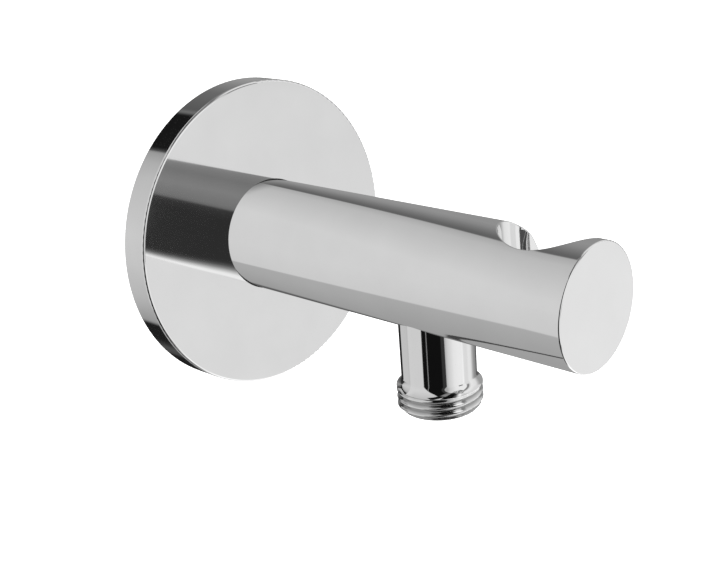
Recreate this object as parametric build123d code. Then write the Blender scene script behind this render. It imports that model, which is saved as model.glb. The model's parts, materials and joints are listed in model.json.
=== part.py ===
from build123d import *
import math
import os

# A wall outlet for a shower hose, in millimetres. The origin is on the wall plane, on the arm's axis.
# The arm points along -Y into the room, the hose outlet hangs along -Z, and +Y goes into the wall.

# Arm
ARM_DIAMETER = 28.8
ARM_PROJECTION = 108.4
ARM_BACK_GAP = 1.0
ARM_EDGE_RADIUS = 0.4

# Handset seat: a tapered round hole, with a narrower slot out to the arm's right-hand side
SEAT_DIAMETER = 23.7
SEAT_SLOT_WIDTH = 20.9
SEAT_TAPER_DEGREES = 3.0
SEAT_FROM_ARM_END = 14.7
SEAT_CENTRE_OFFSET = 4.8
SEAT_EDGE_RADIUS = 0.3

# Waterway through the arm
WATERWAY_DIAMETER = 12.0
WATERWAY_OVERRUN = 6.0
DRILL_POINT_DEGREES = 118.0

# Wall flange, a shallow cup with a hub on the arm
FLANGE_DIAMETER = 80.0
FLANGE_DEPTH = 7.3
FLANGE_WALL = 1.8
FLANGE_EDGE_RADIUS = 0.6
HUB_WALL = 3.2
HUB_LENGTH = 5.0
HUB_CLEARANCE = 0.15
HUB_RING_SECTION = 1.6
HUB_RING_FROM_FRONT = 3.2

# Pipe thread of inlet and outlet, drawn as its outside diameter
THREAD_DIAMETER = 20.955
THREAD_CHAMFER = 1.2

# Inlet nipple
INLET_THREAD_LENGTH = 18.0
INLET_SHOULDER_CHAMFER = 0.6
NIPPLE_DIAMETER = 18.0
NIPPLE_LENGTH = 30.0
NIPPLE_CLEARANCE = 0.05
NIPPLE_END_GAP = 2.0
NIPPLE_CHAMFER = 0.8
NIPPLE_BORE_DIAMETER = 9.5
KEY_WIDTH = 10.0
KEY_DEPTH = 10.0
NIPPLE_RING_SECTION = 2.0
NIPPLE_RING_FROM_SHOULDER = 18.0
NIPPLE_RING_SPACING = 6.0

# Grub screw that clamps the arm to the nipple
SCREW_DIAMETER = 5.0
SCREW_CLEARANCE = 0.05
SCREW_FROM_SHOULDER = 10.5
SCREW_RECESS = 0.8
SCREW_POINT_DIAMETER = 3.5
SCREW_POINT_LENGTH = 1.4
SCREW_KEY_WIDTH = 2.5
SCREW_KEY_DEPTH = 2.5
SCREW_GROOVE_WIDTH = 4.2
SCREW_GROOVE_DEPTH = 1.0

# Outlet spigot
OUTLET_FROM_WALL = 63.2
OUTLET_END_BELOW_AXIS = 34.3
OUTLET_THREAD_LENGTH = 6.0
OUTLET_BORE_DIAMETER = 10.5
NECK_DIAMETER = 18.3
NECK_CLEARANCE = 0.05
FLARE_HEIGHT = 2.5
PORT_SHOULDER_BELOW_AXIS = 8.0
OUTLET_SEAL_THICKNESS = 1.0
OUTLET_SEAL_BORE_DIAMETER = 12.6
OUTLET_SEAL_CLEARANCE = 0.15

# Non-return cartridge in the spigot
VALVE_DIAMETER = 13.9
VALVE_CLEARANCE = 0.05
VALVE_LENGTH = 14.0
VALVE_SEAT_THICKNESS = 3.5
VALVE_INLET_DIAMETER = 6.6
VALVE_CHAMBER_DIAMETER = 10.9
VALVE_RING_SECTION = 1.5
GUIDE_DIAMETER = 11.8
GUIDE_CLEARANCE = 0.05
GUIDE_RING_WALL = 1.1
GUIDE_BOSS_DIAMETER = 5.4
GUIDE_SPOKES = 3
GUIDE_SPOKE_WIDTH = 1.2

# Poppet, its seal and its spring
POPPET_DIAMETER = 8.6
POPPET_THICKNESS = 1.2
POPPET_NOSE_DIAMETER = 4.0
POPPET_NOSE_HEIGHT = 1.8
POPPET_NOSE_CHAMFER = 0.6
POPPET_LIFT = 2.5
STEM_DIAMETER = 3.0
STEM_CLEARANCE = 0.05
STEM_END_GAP = 0.5
POPPET_SEAL_THICKNESS = 1.0
POPPET_SEAL_CLEARANCE = 0.05
POPPET_SEAT_GAP = 0.1
SPRING_WIRE_DIAMETER = 0.4
SPRING_MEAN_DIAMETER = 4.4
SPRING_TURNS = 3.5
SPRING_WIRE_SIDES = 6

# Slack round every rubber ring, and room for grooves beside their rings
RING_SLACK = 0.02
RING_SIDE_ROOM = 0.3
CUT_MARGIN = 2.0

# Places worked out from the sizes above
arm_radius = ARM_DIAMETER / 2
arm_back = -ARM_BACK_GAP
seat_y = -(ARM_PROJECTION - SEAT_FROM_ARM_END)
outlet_y = -OUTLET_FROM_WALL
thread_radius = THREAD_DIAMETER / 2
nipple_radius = NIPPLE_DIAMETER / 2
nipple_front = arm_back - NIPPLE_LENGTH
socket_radius = nipple_radius + NIPPLE_CLEARANCE
socket_end = nipple_front - NIPPLE_END_GAP
screw_y = arm_back - SCREW_FROM_SHOULDER
spigot_top = -PORT_SHOULDER_BELOW_AXIS - OUTLET_SEAL_THICKNESS
spigot_end = -OUTLET_END_BELOW_AXIS
valve_radius = VALVE_DIAMETER / 2
valve_bore_radius = valve_radius + VALVE_CLEARANCE
valve_end = spigot_top - VALVE_LENGTH
valve_seat = spigot_top - VALVE_SEAT_THICKNESS
poppet_seal_top = valve_seat - POPPET_SEAT_GAP
poppet_top = poppet_seal_top - POPPET_SEAL_THICKNESS
poppet_bottom = poppet_top - POPPET_THICKNESS
spring_solid_height = (SPRING_TURNS + 1) * SPRING_WIRE_DIAMETER
guide_top = poppet_bottom - POPPET_LIFT - spring_solid_height


def turned_on_arm(*corners):
    """Solid turned about the arm's axis, from (radius, y) corners."""
    return revolve(make_face(Polyline(*corners, close=True)), Axis.Y)


def turned_on_outlet(*corners):
    """Solid turned about the outlet's axis, from (radius, z) corners."""
    profile = Plane.XZ * make_face(Polyline(*corners, close=True))
    return Pos(0, outlet_y, 0) * revolve(profile, Axis.Z)


def ring_on_arm(inner_radius, section, y):
    """Rubber ring about the arm's axis, just clear of the two walls that squeeze it."""
    ring = Torus(inner_radius + section / 2, section / 2 - RING_SLACK)
    return Pos(0, y, 0) * Rot(90, 0, 0) * ring


def ring_groove(bottom_radius, mouth_radius, section, y):
    """Cutter for a ring's groove about the arm's axis."""
    half = section / 2 + RING_SIDE_ROOM
    return turned_on_arm((bottom_radius, y - half), (mouth_radius, y - half), (mouth_radius, y + half),
                         (bottom_radius, y + half))


def seat_cutter():
    """Hole for the handset's cone and the slot its hose passes through, both narrowing downwards."""
    reach = arm_radius + CUT_MARGIN
    slope = math.tan(math.radians(SEAT_TAPER_DEGREES))
    top_radius = SEAT_DIAMETER / 2 + CUT_MARGIN * slope
    hole = Cone(top_radius - 2 * reach * slope, top_radius, 2 * reach)
    slot_section = Trapezoid(SEAT_SLOT_WIDTH + 2 * CUT_MARGIN * slope, 2 * reach, 90 - SEAT_TAPER_DEGREES)
    slot = extrude(Plane.YZ * Rot(0, 0, 180) * slot_section, amount=2 * arm_radius)
    return Pos(SEAT_CENTRE_OFFSET, seat_y, 0) * (hole + slot)


def waterway_cutter():
    """Nipple socket and drilled waterway along the arm, with the drill's cone at its end."""
    radius = WATERWAY_DIAMETER / 2
    drill_end = outlet_y - WATERWAY_OVERRUN
    cone = radius / math.tan(math.radians(DRILL_POINT_DEGREES / 2))
    return turned_on_arm((0, arm_back + CUT_MARGIN), (socket_radius, arm_back + CUT_MARGIN),
                         (socket_radius, socket_end), (radius, socket_end), (radius, drill_end),
                         (0, drill_end - cone))


def port_cutter():
    """Counterbore for the spigot under the arm, and the port up to the waterway."""
    neck_bore = NECK_DIAMETER / 2 + NECK_CLEARANCE
    port = WATERWAY_DIAMETER / 2
    shoulder = -PORT_SHOULDER_BELOW_AXIS
    return turned_on_outlet((0, 0), (port, 0), (port, shoulder), (neck_bore, shoulder),
                            (neck_bore, -arm_radius - CUT_MARGIN), (0, -arm_radius - CUT_MARGIN))


def screw_axis(height):
    """Place on the grub screw's axis, with Z up."""
    return Pos(0, screw_y, height)


def arm_body():
    bar = turned_on_arm((0, arm_back), (arm_radius, arm_back), (arm_radius, -ARM_PROJECTION),
                        (0, -ARM_PROJECTION))
    bar = fillet(bar.edges().group_by(Axis.Y)[0], ARM_EDGE_RADIUS) - seat_cutter()
    seat_edges = [edge for edge in bar.edges() if edge.geom_type not in (GeomType.CIRCLE, GeomType.LINE)]
    bar = fillet(seat_edges, SEAT_EDGE_RADIUS)
    screw_hole = Cylinder(SCREW_DIAMETER / 2 + SCREW_CLEARANCE, arm_radius + CUT_MARGIN,
                          align=(Align.CENTER, Align.CENTER, Align.MAX))
    return bar - waterway_cutter() - port_cutter() - screw_axis(0) * screw_hole


def wall_flange():
    front = -FLANGE_DEPTH
    rim = FLANGE_DIAMETER / 2
    hole = arm_radius + HUB_CLEARANCE
    hub = hole + HUB_WALL
    hub_back = front + HUB_LENGTH
    cup = turned_on_arm((rim, 0), (rim, front), (hole, front), (hole, hub_back), (hub, hub_back),
                        (hub, front + FLANGE_WALL), (rim - FLANGE_WALL, front + FLANGE_WALL),
                        (rim - FLANGE_WALL, 0))
    front_edge = cup.edges().filter_by(GeomType.CIRCLE).group_by(Axis.Y)[0].sort_by(SortBy.RADIUS)[-1]
    cup = fillet(front_edge, FLANGE_EDGE_RADIUS)
    groove_bottom = arm_radius + HUB_RING_SECTION
    return cup - ring_groove(groove_bottom, arm_radius, HUB_RING_SECTION, front + HUB_RING_FROM_FRONT)


def flange_o_ring():
    return ring_on_arm(arm_radius, HUB_RING_SECTION, -FLANGE_DEPTH + HUB_RING_FROM_FRONT)


def nipple_ring_places():
    """Rear and front ring of the nipple, along the arm."""
    rear = arm_back - NIPPLE_RING_FROM_SHOULDER
    return rear, rear - NIPPLE_RING_SPACING


def inlet_nipple():
    """Screws into the wall at its back; the arm slides on its front and stops at the thread's shoulder."""
    wall_end = arm_back + INLET_THREAD_LENGTH
    bore = NIPPLE_BORE_DIAMETER / 2
    body = turned_on_arm((bore, wall_end), (thread_radius - THREAD_CHAMFER, wall_end),
                         (thread_radius, wall_end - THREAD_CHAMFER),
                         (thread_radius, arm_back + INLET_SHOULDER_CHAMFER),
                         (thread_radius - INLET_SHOULDER_CHAMFER, arm_back), (nipple_radius, arm_back),
                         (nipple_radius, nipple_front + NIPPLE_CHAMFER),
                         (nipple_radius - NIPPLE_CHAMFER, nipple_front), (bore, nipple_front))
    for y in nipple_ring_places():
        body -= ring_groove(socket_radius - NIPPLE_RING_SECTION, socket_radius, NIPPLE_RING_SECTION, y)
    half_groove = SCREW_GROOVE_WIDTH / 2
    body -= turned_on_arm((nipple_radius - SCREW_GROOVE_DEPTH, screw_y - half_groove),
                          (socket_radius, screw_y - half_groove), (socket_radius, screw_y + half_groove),
                          (nipple_radius - SCREW_GROOVE_DEPTH, screw_y + half_groove))
    key = RegularPolygon(KEY_WIDTH / 2, 6, major_radius=False)
    return body - extrude(Plane.XZ.offset(-nipple_front - KEY_DEPTH) * key, KEY_DEPTH)


def nipple_o_ring(y):
    return ring_on_arm(socket_radius - NIPPLE_RING_SECTION, NIPPLE_RING_SECTION, y)


def grub_screw():
    """Dog-point screw: its point stands in the nipple's groove, its key socket faces down."""
    tip = -(nipple_radius - SCREW_GROOVE_DEPTH)
    head = -(arm_radius - SCREW_RECESS)
    shoulder = tip - SCREW_POINT_LENGTH
    point = Cylinder(SCREW_POINT_DIAMETER / 2, SCREW_POINT_LENGTH,
                     align=(Align.CENTER, Align.CENTER, Align.MAX))
    shank = Cylinder(SCREW_DIAMETER / 2, shoulder - head, align=(Align.CENTER, Align.CENTER, Align.MAX))
    key = extrude(RegularPolygon(SCREW_KEY_WIDTH / 2, 6, major_radius=False), SCREW_KEY_DEPTH)
    return screw_axis(tip) * point + screw_axis(shoulder) * shank - screw_axis(head) * key


def outlet_spigot():
    """Hose connector: plain neck, concave flare, thread with a chamfered end, stepped bore."""
    neck = NECK_DIAMETER / 2
    bore = OUTLET_BORE_DIAMETER / 2
    thread_top = spigot_end + OUTLET_THREAD_LENGTH
    flare_start = (neck, thread_top + FLARE_HEIGHT)
    flare_end = (thread_radius, thread_top)
    flare = TangentArc(flare_start, flare_end, tangent=(0, -1))
    rest = Polyline(flare_end, (thread_radius, spigot_end + THREAD_CHAMFER),
                    (thread_radius - THREAD_CHAMFER, spigot_end), (bore, spigot_end), (bore, valve_end),
                    (valve_bore_radius, valve_end), (valve_bore_radius, spigot_top), (neck, spigot_top),
                    flare_start)
    profile = Plane.XZ * make_face(flare + rest)
    return Pos(0, outlet_y, 0) * revolve(profile, Axis.Z)


def outlet_seal():
    outer = NECK_DIAMETER / 2 - OUTLET_SEAL_CLEARANCE
    inner = OUTLET_SEAL_BORE_DIAMETER / 2
    return turned_on_outlet((inner, spigot_top), (outer, spigot_top),
                            (outer, spigot_top + OUTLET_SEAL_THICKNESS),
                            (inner, spigot_top + OUTLET_SEAL_THICKNESS))


def valve_ring_height():
    return (spigot_top + valve_seat) / 2


def valve_housing():
    """Cartridge shell: ring seat at the top, flow chamber, and a counterbore that takes the guide."""
    inlet = VALVE_INLET_DIAMETER / 2
    chamber = VALVE_CHAMBER_DIAMETER / 2
    guide_bore = GUIDE_DIAMETER / 2 + GUIDE_CLEARANCE
    shell = turned_on_outlet((inlet, spigot_top), (valve_radius, spigot_top), (valve_radius, valve_end),
                             (guide_bore, valve_end), (guide_bore, guide_top), (chamber, guide_top),
                             (chamber, valve_seat), (inlet, valve_seat))
    half = VALVE_RING_SECTION / 2 + RING_SIDE_ROOM
    z = valve_ring_height()
    groove_bottom = valve_bore_radius - VALVE_RING_SECTION
    return shell - turned_on_outlet((groove_bottom, z - half), (valve_bore_radius, z - half),
                                    (valve_bore_radius, z + half), (groove_bottom, z + half))


def valve_o_ring():
    ring = Torus(valve_bore_radius - VALVE_RING_SECTION / 2, VALVE_RING_SECTION / 2 - RING_SLACK)
    return Pos(0, outlet_y, valve_ring_height()) * ring


def valve_guide():
    """Spoked ring that holds the poppet's stem in the middle of the flow."""
    outer = GUIDE_DIAMETER / 2
    inner = outer - GUIDE_RING_WALL
    boss = GUIDE_BOSS_DIAMETER / 2
    stem_bore = STEM_DIAMETER / 2 + STEM_CLEARANCE
    guide = turned_on_outlet((inner, valve_end), (outer, valve_end), (outer, guide_top), (inner, guide_top))
    guide += turned_on_outlet((stem_bore, valve_end), (boss, valve_end), (boss, guide_top),
                              (stem_bore, guide_top))
    root = (boss + stem_bore) / 2
    tip = (inner + outer) / 2
    spoke = Pos((root + tip) / 2, 0, 0) * Box(tip - root, GUIDE_SPOKE_WIDTH, guide_top - valve_end)
    middle = Pos(0, outlet_y, (valve_end + guide_top) / 2)
    for turn in range(GUIDE_SPOKES):
        guide += middle * Rot(0, 0, turn * 360 / GUIDE_SPOKES) * spoke
    return guide


def valve_poppet():
    """Disc on a guided stem, with a nose that locates its seal; drawn closed."""
    disc = POPPET_DIAMETER / 2
    nose = POPPET_NOSE_DIAMETER / 2
    stem = STEM_DIAMETER / 2
    nose_top = poppet_top + POPPET_NOSE_HEIGHT
    stem_end = valve_end + STEM_END_GAP
    return turned_on_outlet((0, nose_top), (nose - POPPET_NOSE_CHAMFER, nose_top),
                            (nose, nose_top - POPPET_NOSE_CHAMFER), (nose, poppet_top), (disc, poppet_top),
                            (disc, poppet_bottom), (stem, poppet_bottom), (stem, stem_end), (0, stem_end))


def poppet_seal():
    inner = POPPET_NOSE_DIAMETER / 2 + POPPET_SEAL_CLEARANCE
    outer = POPPET_DIAMETER / 2
    return turned_on_outlet((inner, poppet_top), (outer, poppet_top), (outer, poppet_seal_top),
                            (inner, poppet_seal_top))


def valve_spring():
    """Coil between the guide's boss and the poppet's disc, at its length with the valve closed."""
    wire = SPRING_WIRE_DIAMETER / 2
    low = guide_top + wire + RING_SLACK
    rise = poppet_bottom - guide_top - SPRING_WIRE_DIAMETER - 2 * RING_SLACK
    coil = Helix(rise / SPRING_TURNS, rise, SPRING_MEAN_DIAMETER / 2)
    section = Plane(origin=coil @ 0, z_dir=coil % 0) * RegularPolygon(wire, SPRING_WIRE_SIDES)
    return Pos(0, outlet_y, low) * sweep(section, path=coil)


rear_ring_y, front_ring_y = nipple_ring_places()
nodes = {
    "arm_body": arm_body(),
    "wall_flange": wall_flange(),
    "flange_o_ring": flange_o_ring(),
    "inlet_nipple": inlet_nipple(),
    "nipple_rear_o_ring": nipple_o_ring(rear_ring_y),
    "nipple_front_o_ring": nipple_o_ring(front_ring_y),
    "grub_screw": grub_screw(),
    "outlet_spigot": outlet_spigot(),
    "outlet_seal": outlet_seal(),
    "valve_housing": valve_housing(),
    "valve_o_ring": valve_o_ring(),
    "valve_guide": valve_guide(),
    "valve_poppet": valve_poppet(),
    "poppet_seal": poppet_seal(),
    "valve_spring": valve_spring(),
}

os.makedirs("parts", exist_ok=True)
for name, solid in nodes.items():
    export_step(solid, f"parts/{name}.step")
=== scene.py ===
import json
import math

import bmesh
import bpy
from mathutils import Matrix, Vector


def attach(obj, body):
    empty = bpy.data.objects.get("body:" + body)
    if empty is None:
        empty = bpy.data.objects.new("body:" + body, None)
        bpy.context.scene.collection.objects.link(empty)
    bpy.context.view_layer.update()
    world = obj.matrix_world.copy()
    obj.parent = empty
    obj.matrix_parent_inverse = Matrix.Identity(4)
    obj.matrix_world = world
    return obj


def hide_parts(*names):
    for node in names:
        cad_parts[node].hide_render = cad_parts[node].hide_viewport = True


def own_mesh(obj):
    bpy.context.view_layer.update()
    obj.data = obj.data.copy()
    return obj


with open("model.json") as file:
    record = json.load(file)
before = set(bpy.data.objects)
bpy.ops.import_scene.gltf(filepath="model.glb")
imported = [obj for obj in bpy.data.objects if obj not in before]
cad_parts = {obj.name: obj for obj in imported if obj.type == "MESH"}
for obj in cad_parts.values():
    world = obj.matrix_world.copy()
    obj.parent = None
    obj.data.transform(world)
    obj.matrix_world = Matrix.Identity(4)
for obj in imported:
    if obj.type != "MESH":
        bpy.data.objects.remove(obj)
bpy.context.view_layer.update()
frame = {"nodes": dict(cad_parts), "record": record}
nodes = frame["nodes"]

# The looks of a chromed wall outlet for a shower hose, in metres in the part's own frame.
# Sizes below are the part's, in millimetres.
MM = 0.001

# Pipe thread of the hose outlet and the inlet nipple: 14 threads to the inch, Whitworth form
THREAD_RADIUS = 10.4775
THREAD_PITCH = 1.8143
THREAD_DEPTH = 1.162
THREAD_CHAMFER = 1.2
THREAD_FADE = 1.0
ROWS_PER_PITCH = 20
TURNED_SIDES = 144
SHARP_DEGREES = 40

# Hose outlet, heights on the part's Z axis
OUTLET_Y = -63.2
OUTLET_TOP = -9.0
OUTLET_END = -34.3
OUTLET_THREAD_TOP = -28.3
FLARE_TOP = -25.8
NECK_RADIUS = 9.15
OUTLET_BORE_RADIUS = 5.25
VALVE_BORE_RADIUS = 7.0
VALVE_BORE_END = -23.0
EDGE_BREAK = 0.15
FLARE_STEPS = 14
ROOT_SHADE_RADIUS = 9.6
FLAT_NORMAL = 0.99

# Inlet nipple, places along the part's Y axis
NIPPLE_WALL_END = 17.0
NIPPLE_SHOULDER = -1.0
NIPPLE_FRONT = -31.0
NIPPLE_RADIUS = 9.0
NIPPLE_CHAMFER = 0.8
SHOULDER_CHAMFER = 0.6
NIPPLE_BORE_RADIUS = 4.75
KEY_APOTHEM = 5.0
KEY_END = -21.0
SCREW_GROOVE = (-9.4, -13.6, 8.0)
RING_GROOVES = ((-17.7, -20.3, 7.05), (-23.7, -26.3, 7.05))

# Valve spring between the guide and the poppet, at rest
SPRING_LOW = -19.1
SPRING_HIGH = -14.8
SPRING_WIRE_RADIUS = 0.2
SPRING_MEAN_RADIUS = 2.2
SPRING_TURNS = 3.5
SPRING_SLACK = 0.02
SPRING_STEPS_PER_TURN = 48
SPRING_WIRE_SIDES = 12

# Camera of the photograph
IMAGE_WIDTH, IMAGE_HEIGHT = 715, 573
FOCAL_PIXELS = 1110.66
IMAGE_CENTRE = (465.0, 289.0)
CAMERA_AZIMUTH = -50.128
CAMERA_ELEVATION = 20.006
CAMERA_ROLL = -2.626
CAMERA_DISTANCE = 0.266619
AIM = (0.0, -0.05, 0.0)
AIM_RIGHT, AIM_UP = 0.017254, -0.00756


def linear(hex_colour):
    """Linear red, green, blue and alpha of an sRGB hex colour."""
    levels = [int(hex_colour[i:i + 2], 16) / 255 for i in (1, 3, 5)]
    return [v / 12.92 if v <= 0.04045 else ((v + 0.055) / 1.055) ** 2.4 for v in levels] + [1.0]


def add(tree, kind, links=(), stops=(), **settings):
    """Adds a node with its settings. Each link is (socket, another node's output or a value), and each stop
    of a colour ramp is (place, colour)."""
    made = tree.nodes.new("ShaderNode" + kind)
    for name, value in settings.items():
        setattr(made, name, value)
    for socket, value in links:
        if isinstance(value, bpy.types.NodeSocket):
            tree.links.new(value, made.inputs[socket])
        else:
            made.inputs[socket].default_value = value
    for i, (place, colour) in enumerate(stops):
        stop = made.color_ramp.elements[i] if i < 2 else made.color_ramp.elements.new(place)
        stop.position = place
        stop.color = colour
    return made


def new_material(name):
    """New material and its node tree, still empty."""
    material = bpy.data.materials.new(name)
    material.use_nodes = True
    material.node_tree.nodes.clear()
    return material, material.node_tree


def cycles_per_metre(millimetres):
    """Texture scale for a pattern that repeats about every so many millimetres."""
    return 1 / (millimetres * MM)


# Materials

def polished_chrome_plate():
    """Chromium plated on buffed brass: a neutral mirror, with a faint cloudiness where the mop has passed
    and a very slow waviness that bends long reflections a little."""
    material, tree = new_material("polished_chrome_plate")
    place = add(tree, "TexCoord").outputs["Object"]
    cloud = add(tree, "TexNoise", [("Vector", place), ("Scale", cycles_per_metre(14)), ("Detail", 3.0)])
    colour = add(tree, "ValToRGB", [("Fac", cloud.outputs["Fac"])],
                 stops=[(0.3, linear("#E9E9E9")), (0.7, linear("#EDEDED"))])
    gloss = add(tree, "MapRange", [("Value", cloud.outputs["Fac"]), ("From Min", 0.3), ("From Max", 0.7),
                                   ("To Min", 0.035), ("To Max", 0.055)])
    wave = add(tree, "TexNoise", [("Vector", place), ("Scale", cycles_per_metre(9)), ("Detail", 1.0)])
    bump = add(tree, "Bump", [("Strength", 1.0), ("Distance", 0.0015 * MM), ("Height", wave.outputs["Fac"])])
    shader = add(tree, "BsdfPrincipled", [("Base Color", colour.outputs["Color"]), ("Metallic", 1.0),
                                          ("Roughness", gloss.outputs["Result"]),
                                          ("Normal", bump.outputs["Normal"])])
    add(tree, "OutputMaterial", [("Surface", shader.outputs["BSDF"])])
    return material


def thread_chrome_painted_root_shade():
    """Chromium where the plating bath hardly reaches, in the outlet's thread and bores: bright on the crests,
    duller towards the roots, and greyer towards the roots and in the bores, which is painted shade."""
    material, tree = new_material("thread_chrome_painted_root_shade")
    place = add(tree, "TexCoord").outputs["Object"]
    from_axis = add(tree, "VectorMath", [(0, place), (1, (1, 1, 0)), (2, (0, -OUTLET_Y * MM, 0))],
                    operation="MULTIPLY_ADD")
    radius = add(tree, "VectorMath", [(0, from_axis.outputs["Vector"])], operation="LENGTH")
    crest = add(tree, "MapRange", [("Value", radius.outputs["Value"]), ("From Min", ROOT_SHADE_RADIUS * MM),
                                   ("From Max", THREAD_RADIUS * MM)])
    # Greyer towards the roots and in the bores: painted shade where the thread's grooves and the bores shade
    # themselves
    colour = add(tree, "ValToRGB", [("Fac", crest.outputs["Result"])],
                 stops=[(0.0, linear("#A6A6A6")), (1.0, linear("#EBEBEB"))])
    gloss = add(tree, "MapRange", [("Value", crest.outputs["Result"]), ("To Min", 0.14), ("To Max", 0.045)])
    shader = add(tree, "BsdfPrincipled", [("Base Color", colour.outputs["Color"]), ("Metallic", 1.0),
                                          ("Roughness", gloss.outputs["Result"])])
    add(tree, "OutputMaterial", [("Surface", shader.outputs["BSDF"])])
    return material


def turned_brass():
    """Brass as it leaves the lathe: warm yellow, with fine tool rings round the arm's axis that spread the
    shine across the cut, and a few duller patches."""
    material, tree = new_material("turned_brass")
    place = add(tree, "TexCoord").outputs["Object"]
    patch = add(tree, "TexNoise", [("Vector", place), ("Scale", cycles_per_metre(8)), ("Detail", 4.0)])
    colour = add(tree, "ValToRGB", [("Fac", patch.outputs["Fac"])],
                 stops=[(0.3, linear("#C9A352")), (0.7, linear("#DDBD70"))])
    # Tool rings lie about 0.1 mm apart, too fine to show, so they are drawn 0.7 mm apart; a band texture of
    # scale 1 repeats every 2 pi / 20
    rings = add(tree, "TexWave", [("Vector", place), ("Scale", cycles_per_metre(0.7) * 2 * math.pi / 20),
                                  ("Distortion", 0.6), ("Detail", 1.0)],
                wave_type="BANDS", bands_direction="Y")
    bump = add(tree, "Bump", [("Strength", 0.5), ("Distance", 0.01 * MM), ("Height", rings.outputs["Fac"])])
    gloss = add(tree, "MapRange", [("Value", patch.outputs["Fac"]), ("To Min", 0.22), ("To Max", 0.38)])
    shader = add(tree, "BsdfPrincipled", [("Base Color", colour.outputs["Color"]), ("Metallic", 1.0),
                                          ("Roughness", gloss.outputs["Result"]),
                                          ("Normal", bump.outputs["Normal"])])
    add(tree, "OutputMaterial", [("Surface", shader.outputs["BSDF"])])
    return material


def moulded_rubber():
    """Black seal rubber from a fine-eroded mould: soft sheen, a dust-fine grain and a slight bloom."""
    material, tree = new_material("moulded_rubber")
    place = add(tree, "TexCoord").outputs["Object"]
    bloom = add(tree, "TexNoise", [("Vector", place), ("Scale", cycles_per_metre(3)), ("Detail", 3.0)])
    colour = add(tree, "ValToRGB", [("Fac", bloom.outputs["Fac"])],
                 stops=[(0.35, linear("#161616")), (0.75, linear("#262626"))])
    # The mould's grain is about 0.05 mm, too fine to show, so it is drawn at 0.4 mm
    grain = add(tree, "TexNoise", [("Vector", place), ("Scale", cycles_per_metre(0.4)), ("Detail", 2.0)])
    bump = add(tree, "Bump", [("Strength", 0.4), ("Distance", 0.01 * MM), ("Height", grain.outputs["Fac"])])
    shader = add(tree, "BsdfPrincipled", [("Base Color", colour.outputs["Color"]), ("Roughness", 0.55),
                                          ("IOR", 1.52), ("Normal", bump.outputs["Normal"])])
    add(tree, "OutputMaterial", [("Surface", shader.outputs["BSDF"])])
    return material


def drawn_stainless_steel():
    """Stainless steel drawn and machined: greyer and warmer than chrome, with a fine uneven dullness."""
    material, tree = new_material("drawn_stainless_steel")
    place = add(tree, "TexCoord").outputs["Object"]
    # The marks of drawing are about 0.05 mm wide, too fine to show, so they are drawn at 0.4 mm
    marks = add(tree, "TexNoise", [("Vector", place), ("Scale", cycles_per_metre(0.4)), ("Detail", 5.0)])
    colour = add(tree, "ValToRGB", [("Fac", marks.outputs["Fac"])],
                 stops=[(0.3, linear("#BDBBB7")), (0.7, linear("#D2D0CC"))])
    gloss = add(tree, "MapRange", [("Value", marks.outputs["Fac"]), ("To Min", 0.2), ("To Max", 0.36)])
    shader = add(tree, "BsdfPrincipled", [("Base Color", colour.outputs["Color"]), ("Metallic", 1.0),
                                          ("Roughness", gloss.outputs["Result"])])
    add(tree, "OutputMaterial", [("Surface", shader.outputs["BSDF"])])
    return material


def moulded_acetal():
    """Natural acetal, injection moulded: milky white, waxy sheen, faint flow clouds."""
    material, tree = new_material("moulded_acetal")
    place = add(tree, "TexCoord").outputs["Object"]
    flow = add(tree, "TexNoise", [("Vector", place), ("Scale", cycles_per_metre(5)), ("Detail", 2.0)])
    colour = add(tree, "ValToRGB", [("Fac", flow.outputs["Fac"])],
                 stops=[(0.3, linear("#E6E5DE")), (0.7, linear("#F1F0EA"))])
    gloss = add(tree, "MapRange", [("Value", flow.outputs["Fac"]), ("To Min", 0.3), ("To Max", 0.42)])
    shader = add(tree, "BsdfPrincipled", [("Base Color", colour.outputs["Color"]), ("IOR", 1.48),
                                          ("Roughness", gloss.outputs["Result"])])
    add(tree, "OutputMaterial", [("Surface", shader.outputs["BSDF"])])
    return material


def matt_white_paper():
    """Studio paper: plain, pale and lit evenly, with the faintest fibre mottling."""
    material, tree = new_material("matt_white_paper")
    place = add(tree, "TexCoord").outputs["Object"]
    fibre = add(tree, "TexNoise", [("Vector", place), ("Scale", cycles_per_metre(40)), ("Detail", 2.0)])
    colour = add(tree, "ValToRGB", [("Fac", fibre.outputs["Fac"])],
                 stops=[(0.3, linear("#FDFDFD")), (0.7, linear("#FFFFFF"))])
    shader = add(tree, "BsdfPrincipled", [("Base Color", linear("#F4F4F4")), ("Roughness", 0.9),
                                          ("Emission Color", colour.outputs["Color"]),
                                          ("Emission Strength", 1.0)])
    add(tree, "OutputMaterial", [("Surface", shader.outputs["BSDF"])])
    return material


CHROME = polished_chrome_plate()
THREAD_CHROME_ROOT_SHADE = thread_chrome_painted_root_shade()
BRASS = turned_brass()
RUBBER = moulded_rubber()
STEEL = drawn_stainless_steel()
ACETAL = moulded_acetal()
FINISH = {"chrome_plate": CHROME, "raw_brass": BRASS, "black_rubber": RUBBER, "stainless_steel": STEEL,
          "white_acetal": ACETAL}

for piece in frame["record"]["subparts"]:
    mesh = nodes[piece["node"]].data
    mesh.materials.clear()
    mesh.materials.append(FINISH[piece["material_slot"]])


# Turned pieces

def thread_radius_at(along, angle, start, end):
    """Radius of the pipe thread, a smooth helical groove that fades out at its start and is cut back by the
    chamfer at its end."""
    phase = (along - start) / THREAD_PITCH - angle / (2 * math.pi)
    inward = min(abs(along - start) / THREAD_FADE, 1.0)
    groove = THREAD_DEPTH * inward * (0.5 - 0.5 * math.cos(2 * math.pi * phase))
    chamfer = max(THREAD_CHAMFER - abs(end - along), 0.0)
    return THREAD_RADIUS - max(groove, chamfer)


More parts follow.
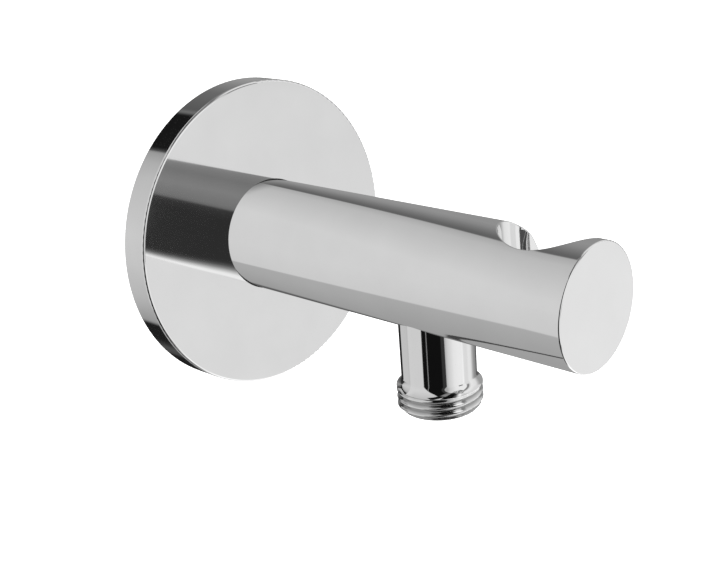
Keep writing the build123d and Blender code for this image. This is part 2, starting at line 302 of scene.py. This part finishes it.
def thread_rings(start, end):
    """Rings of (place, radius by angle) along the thread."""
    count = round(abs(end - start) / THREAD_PITCH * ROWS_PER_PITCH)
    rings = []
    for i in range(count + 1):
        along = start + (end - start) * i / count
        rings.append((along, lambda angle, along=along: thread_radius_at(along, angle, start, end)))
    return rings


def hexagon_radius(angle):
    """Distance from the axis to the wall of the key socket."""
    return KEY_APOTHEM / math.cos((angle + math.pi / 6) % (math.pi / 3) - math.pi / 6)


def turned_piece(name, rings, to_frame, material, node):
    """Closed piece turned from rings of (place, radius), each radius a number or a function of the angle."""
    bm = bmesh.new()
    rows = []
    for along, radius in rings:
        row = []
        for i in range(TURNED_SIDES):
            angle = 2 * math.pi * i / TURNED_SIDES
            r = radius(angle) if callable(radius) else radius
            row.append(bm.verts.new(to_frame @ Vector((r * math.cos(angle), r * math.sin(angle), along))))
        rows.append(row)
    for a, b in zip(rows, rows[1:] + rows[:1]):
        for i in range(TURNED_SIDES):
            j = (i + 1) % TURNED_SIDES
            bm.faces.new((a[i], a[j], b[j], b[i]))
    bmesh.ops.recalc_face_normals(bm, faces=bm.faces)
    return mesh_piece(name, bm, material, node)


def mesh_piece(name, bm, material, node):
    """Object from a bmesh, smooth but for its sharp edges, standing for a CAD node of the outlet."""
    mesh = bpy.data.meshes.new(name)
    bm.to_mesh(mesh)
    bm.free()
    mesh.shade_smooth()
    mesh.set_sharp_from_angle(angle=math.radians(SHARP_DEGREES))
    mesh.materials.append(material)
    piece = bpy.data.objects.new(name, mesh)
    bpy.context.scene.collection.objects.link(piece)
    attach(piece, "outlet")
    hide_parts(node)
    return piece


def hose_outlet():
    """Plain neck, concave flare, threaded end and stepped bore, about the outlet's axis."""
    width = THREAD_RADIUS - NECK_RADIUS
    height = FLARE_TOP - OUTLET_THREAD_TOP
    arc_radius = (width ** 2 + height ** 2) / (2 * width)
    swing = math.asin(height / arc_radius)
    flare = [(FLARE_TOP - arc_radius * math.sin(t * swing / FLARE_STEPS),
              NECK_RADIUS + arc_radius * (1 - math.cos(t * swing / FLARE_STEPS)))
             for t in range(FLARE_STEPS)]
    rings = [(OUTLET_TOP, VALVE_BORE_RADIUS), (OUTLET_TOP, NECK_RADIUS - EDGE_BREAK),
             (OUTLET_TOP - EDGE_BREAK, NECK_RADIUS)]
    rings += flare + thread_rings(OUTLET_THREAD_TOP, OUTLET_END)
    rings += [(OUTLET_END, OUTLET_BORE_RADIUS + EDGE_BREAK), (OUTLET_END + EDGE_BREAK, OUTLET_BORE_RADIUS),
              (VALVE_BORE_END, OUTLET_BORE_RADIUS), (VALVE_BORE_END, VALVE_BORE_RADIUS)]
    to_frame = Matrix.Scale(MM, 4) @ Matrix.Translation((0, OUTLET_Y, 0))
    outlet = turned_piece("threaded_hose_outlet", rings, to_frame, CHROME, "outlet_spigot")
    outlet.data.materials.append(THREAD_CHROME_ROOT_SHADE)
    # The flat end and the neck are plated fully. The thread and the bores are plated thinly and take the
    # duller chrome, with painted shade in the roots and the bores
    for face in outlet.data.polygons:
        x, y, z = face.center / MM
        bored = math.hypot(x, y - OUTLET_Y) < VALVE_BORE_RADIUS + EDGE_BREAK
        if abs(face.normal.z) < FLAT_NORMAL and (bored or z < OUTLET_THREAD_TOP):
            face.material_index = 1
    return outlet


def wall_nipple():
    """Threaded end for the wall, plain front with its ring and screw grooves, key socket and bore."""
    rings = [(NIPPLE_WALL_END, NIPPLE_BORE_RADIUS)]
    rings += thread_rings(NIPPLE_SHOULDER + SHOULDER_CHAMFER, NIPPLE_WALL_END)[::-1]
    rings += [(NIPPLE_SHOULDER, THREAD_RADIUS - SHOULDER_CHAMFER), (NIPPLE_SHOULDER, NIPPLE_RADIUS)]
    for back, front, bottom in (SCREW_GROOVE, *RING_GROOVES):
        rings += [(back, NIPPLE_RADIUS), (back, bottom), (front, bottom), (front, NIPPLE_RADIUS)]
    rings += [(NIPPLE_FRONT + NIPPLE_CHAMFER, NIPPLE_RADIUS), (NIPPLE_FRONT, NIPPLE_RADIUS - NIPPLE_CHAMFER),
              (NIPPLE_FRONT, hexagon_radius), (KEY_END, hexagon_radius), (KEY_END, NIPPLE_BORE_RADIUS)]
    to_frame = Matrix.Scale(MM, 4) @ Matrix.Rotation(math.radians(-90), 4, "X")
    return turned_piece("threaded_wall_nipple", rings, to_frame, BRASS, "inlet_nipple")


def round_wire_spring():
    """Coil of round wire, built at rest; the spring itself shortens as the poppet opens."""
    low = SPRING_LOW + SPRING_WIRE_RADIUS + SPRING_SLACK
    high = SPRING_HIGH - SPRING_WIRE_RADIUS - SPRING_SLACK
    count = round(SPRING_TURNS * SPRING_STEPS_PER_TURN)
    bm = bmesh.new()
    rows = []
    for i in range(count + 1):
        angle = 2 * math.pi * i / SPRING_STEPS_PER_TURN
        out = Vector((math.cos(angle), math.sin(angle), 0))
        centre = out * SPRING_MEAN_RADIUS + Vector((0, OUTLET_Y, low + (high - low) * i / count))
        row = []
        for k in range(SPRING_WIRE_SIDES):
            turn = 2 * math.pi * k / SPRING_WIRE_SIDES
            offset = out * math.cos(turn) + Vector((0, 0, math.sin(turn)))
            row.append(bm.verts.new((centre + offset * SPRING_WIRE_RADIUS) * MM))
        rows.append(row)
    for a, b in zip(rows, rows[1:]):
        for k in range(SPRING_WIRE_SIDES):
            j = (k + 1) % SPRING_WIRE_SIDES
            bm.faces.new((a[k], a[j], b[j], b[k]))
    bm.faces.new(rows[0])
    bm.faces.new(rows[-1])
    bmesh.ops.recalc_face_normals(bm, faces=bm.faces)
    spring = mesh_piece("round_wire_spring", bm, STEEL, "valve_spring")
    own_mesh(spring)
    return spring


hose_end = hose_outlet()
wall_nipple()
spring = round_wire_spring()

# In the photograph the arm mirrors no flange, and the flange neither the hose outlet nor what it holds
VALVE_NODES = ("valve_housing", "valve_guide", "valve_poppet")
for unseen in (hose_end, spring, nodes["wall_flange"], *(nodes[name] for name in VALVE_NODES)):
    unseen.visible_glossy = False


# Studio

def grey(level):
    """Colour of a neutral light, linear and not limited to 1."""
    return [level, level, level, 1.0]


def ramp_stops(*levels):
    """Ramp stops from (place, brightness)."""
    return [(place, grey(level)) for place, level in levels]


def ring_stops(*bands):
    """Ramp stops from (turn about the arm's axis in degrees, brightness); 0 is right, 90 up, -90 down."""
    return ramp_stops(*(((turn + 180) / 360, level) for turn, level in bands))


def soft_share(tree, *edges):
    """Product of soft edges: each runs from none at its first place to full at its second, or between the two
    levels that follow."""
    share = None
    for value, start, full, *levels in edges:
        low, high = levels or (0.0, 1.0)
        edge = add(tree, "MapRange", [("Value", value), ("From Min", start), ("From Max", full),
                                      ("To Min", low), ("To Max", high)]).outputs["Result"]
        if share is None:
            share = edge
        else:
            share = add(tree, "Math", [(0, share), (1, edge)], operation="MULTIPLY").outputs["Value"]
    return share


def studio_light():
    """Panels round the outlet, as its chrome mirrors them. Each lies within soft edges on the way to it:
    x right, y to the wall, z up, or the turn about the arm's axis, so that the arm mirrors long bands. The
    flange and the arm's end mirror the room, the arm what lies towards the wall, and the flange's rim what
    lies past it."""
    world = bpy.data.worlds.new("studio_light")
    bpy.context.scene.world = world
    world.use_nodes = True
    tree = world.node_tree
    tree.nodes.clear()
    way = add(tree, "TexCoord").outputs["Generated"]
    x, y, z = add(tree, "SeparateXYZ", [("Vector", way)]).outputs
    angle = add(tree, "Math", [(0, z), (1, x)], operation="ARCTAN2").outputs["Value"]
    turn = soft_share(tree, (angle, -math.pi, math.pi))
    depth = soft_share(tree, (y, -1.0, 0.0))
    across = soft_share(tree, (x, -0.5, 0.5))
    # How far to one side of the line where the floor ends
    floor_edge = add(tree, "VectorMath", [(0, way), (1, (-0.3185, 0.7971, 0.513))],
                     operation="DOT_PRODUCT").outputs["Value"]

    # Panels that don't stand square to the arm: a place, and the soft edges whose product shifts it
    askew = {}
    for name, place, *shift in (
            ("room", turn, (turn, 0.4, 0.36), (y, -0.793, -0.753, -0.032, 0.032)),
            ("beside_arm", turn, (turn, 0.2, 0.44, -0.208, 0.611), (y, 0.555, 0.755, -0.08, 0.12)),
            ("front", y, (x, -1.0, 1.0, -0.0148, 0.0148)),
            ("wall", y, (z, -0.41, 0.6, 0.0, 0.44), (x, -0.45, -0.52)),
            ("rim", y, (x, -1.0, 1.0, -0.035, 0.035))):
        askew[name] = add(tree, "Math", [(0, place), (1, soft_share(tree, *shift))],
                          operation="ADD").outputs["Value"]

    # Panels that are brighter at one end or in bands
    level = {}
    for name, value, stops in (
            ("room", askew["room"], ring_stops(
                (-180, 0.036), (-112, 0.037), (-104, 0.05), (-95, 0.12), (-85, 0.35), (-75, 0.75),
                (-64, 1.12), (-52, 1.15), (-37, 0.83), (-13.5, 0.8), (-11, 0.6), (-5, 0.29), (52, 0.238),
                (90, 0.295), (120, 0.24), (126, 0.2), (130, 0.06), (136, 0.046), (150, 0.036))),
            ("fall", depth, ramp_stops(
                (0.34, 1.0), (0.42, 1.115), (0.53, 1.11), (0.62, 1.0), (0.7, 0.68), (0.85, 0.43),
                (1.0, 0.35))),
            ("front_panel", across, ramp_stops((0.02, 0.43), (0.17, 0.7), (0.45, 0.92), (0.7, 0.97))),
            ("right_wall", depth, ramp_stops(
                (0.33, 0.8), (0.38, 0.95), (0.68, 0.86), (0.9, 0.48), (1.0, 0.38))),
            ("beside_arm", askew["beside_arm"], ring_stops(
                (-180, 0.752), (-134, 0.7), (-132, 0.475), (-55, 0.367), (-46, 0.12), (-30, 0.1), (-18, 0.3),
                (20, 0.325), (33, 0.287), (57, 0.147), (62.7, 0.135), (64.2, 0.47), (80, 0.578),
                (145, 0.752))),
            ("past_rim", turn, ring_stops(
                (-180, 0.69), (-156, 0.65), (-130, 0.53), (-109, 0.35), (-106, 0.014), (-89, 0.014),
                (-84, 0.04), (-79, 0.087), (-72, 0.066), (-68, 0.014), (-55, 0.014), (-42, 0.03), (-10, 0.2),
                (7, 0.35), (20, 0.31), (45, 0.163), (70, 0.112), (73.5, 0.19), (76.5, 0.01), (110, 0.01),
                (112.5, 0.08), (114, 0.37), (123, 0.5), (136, 0.59), (180, 0.69)))):
        level[name] = add(tree, "ValToRGB", [("Fac", value)], stops=stops).outputs["Color"]

    # The room, then each panel over it within its edges
    light = add(tree, "VectorMath", [(0, level["room"]), (1, level["fall"])],
                operation="MULTIPLY").outputs["Vector"]
    on_left, past_front = (x, -0.45, -0.52), (y, -0.73, -0.7)
    on_right, overhead, past_arm_end = (x, 0.2, 0.4), (z, 0.3, 0.4), (y, -0.5, -0.35)
    in_front = (askew["front"], -0.814, -0.824)
    for panel, *edges in (
            # Dark floor under the outlet, and a bright strip of floor to its right
            (grey(0.012), (z, -0.9, -0.94), (x, 0.0, -0.14)),
            (grey(1.7), (x, -0.04, 0.1), (z, -0.42, -0.5), (y, -0.3, -0.24), (y, 0.04, -0.02)),
            # Black curtain on the left, where it leans over the outlet, and a slit in it
            (grey(0.006), on_left, past_front),
            (grey(0.006), (x, -0.04, -0.14), overhead, past_arm_end),
            (grey(0.22), on_left, past_front, (y, -0.148, -0.146), (y, -0.102, -0.104)),
            # Bright panel in front, and a dark card before it
            (level["front_panel"], in_front),
            (grey(0.08), in_front, (x, 0.129, 0.131), (x, 0.351, 0.349), (z, -0.276, -0.274),
             (z, -0.159, -0.161)),
            # Wall side, which the arm mirrors
            (level["beside_arm"], (askew["wall"], 0.115, 0.145)),
            # Wall on the right, and the ceiling before it
            (level["right_wall"], on_right, (y, -0.74, -0.71), (y, 0.5, 0.42), (z, -0.3, -0.26)),
            (grey(0.8), on_right, overhead, past_arm_end, (y, 0.16, 0.08)),
            # Thin dark line where the floor ends
            (grey(0.06), (floor_edge, -0.01, -0.008), (floor_edge, 0.01, 0.008), (z, -0.59, -0.61),
             (y, 0.512, 0.514), (y, 0.608, 0.606)),
            # Past the flange's rim
            (level["past_rim"], (askew["rim"], 0.756, 0.768)),
            # Beside the outlet's neck
            (grey(0.62), (x, 0.14, 0.1), (y, 0.79, 0.83), (z, -0.32, -0.34))):
        light = add(tree, "Mix", [(0, soft_share(tree, *edges)), (6, light), (7, panel)],
                    data_type="RGBA").outputs[2]
    background = add(tree, "Background", [("Color", light), ("Strength", 1.0)])
    add(tree, "OutputWorld", [("Surface", background.outputs["Background"])])


def paper_sweep():
    """Pale floor that curves up into walls and a ceiling on all sides, out of the chrome's sight."""
    floor, radius, bend, top = -0.6, 3.5, 0.8, 3.0
    sides, bend_steps = 64, 12
    profile = [(0.0, floor), (radius - bend, floor)]
    for i in range(1, bend_steps + 1):
        turn = math.pi / 2 * i / bend_steps
        profile.append((radius - bend + bend * math.sin(turn), floor + bend - bend * math.cos(turn)))
    profile += [(radius, top), (0.0, top)]
    bm = bmesh.new()
    rows = []
    for r, z in profile:
        if r == 0.0:
            rows.append([bm.verts.new((0, 0, z))] * sides)
        else:
            rows.append([bm.verts.new((r * math.cos(2 * math.pi * i / sides),
                                       r * math.sin(2 * math.pi * i / sides), z)) for i in range(sides)])
    for a, b in zip(rows, rows[1:]):
        for i in range(sides):
            j = (i + 1) % sides
            bm.faces.new(list(dict.fromkeys((a[i], a[j], b[j], b[i]))))
    bmesh.ops.recalc_face_normals(bm, faces=bm.faces)
    bmesh.ops.reverse_faces(bm, faces=bm.faces)
    mesh = bpy.data.meshes.new("paper_sweep")
    bm.to_mesh(mesh)
    bm.free()
    mesh.shade_smooth()
    mesh.materials.append(matt_white_paper())
    sweep = bpy.data.objects.new("paper_sweep", mesh)
    bpy.context.scene.collection.objects.link(sweep)
    sweep.visible_glossy = False
    sweep.visible_diffuse = False
    sweep.visible_shadow = False


def soft_overhead_light():
    """Large soft light over the part, for the floor and the dull pieces; the chrome doesn't mirror it."""
    data = bpy.data.lights.new("soft_overhead_light", "AREA")
    data.shape = "SQUARE"
    data.size = 1.6
    data.energy = 40.0
    lamp = bpy.data.objects.new("soft_overhead_light", data)
    lamp.location = (-0.3, -0.4, 1.4)
    lamp.rotation_mode = "QUATERNION"
    lamp.rotation_quaternion = (-lamp.location).to_track_quat("-Z", "Y")
    lamp.visible_glossy = False
    bpy.context.scene.collection.objects.link(lamp)


def photo_camera():
    """Camera where the photograph was taken from, with its centre moved as the picture was cropped."""
    azimuth, elevation, roll = (math.radians(v) for v in (CAMERA_AZIMUTH, CAMERA_ELEVATION, CAMERA_ROLL))
    back = Vector((math.sin(azimuth) * math.cos(elevation), -math.cos(azimuth) * math.cos(elevation),
                   math.sin(elevation)))
    right = Vector((math.cos(azimuth), math.sin(azimuth), 0))
    up = back.cross(right)
    eye = Vector(AIM) + right * AIM_RIGHT + up * AIM_UP + back * CAMERA_DISTANCE
    data = bpy.data.cameras.new("photo_camera")
    data.sensor_width = 36.0
    data.lens = FOCAL_PIXELS / IMAGE_WIDTH * data.sensor_width
    data.shift_x = (IMAGE_WIDTH / 2 - IMAGE_CENTRE[0]) / IMAGE_WIDTH
    data.shift_y = (IMAGE_CENTRE[1] - IMAGE_HEIGHT / 2) / IMAGE_WIDTH
    data.clip_start = 0.01
    camera = bpy.data.objects.new("photo_camera", data)
    turned_right = right * math.cos(roll) + up * math.sin(roll)
    turned_up = up * math.cos(roll) - right * math.sin(roll)
    axes = Matrix((turned_right, turned_up, back)).transposed().to_4x4()
    camera.matrix_world = Matrix.Translation(eye) @ axes
    bpy.context.scene.collection.objects.link(camera)
    bpy.context.scene.camera = camera


studio_light()
paper_sweep()
soft_overhead_light()
photo_camera()
bpy.context.scene.view_settings.view_transform = "Standard"
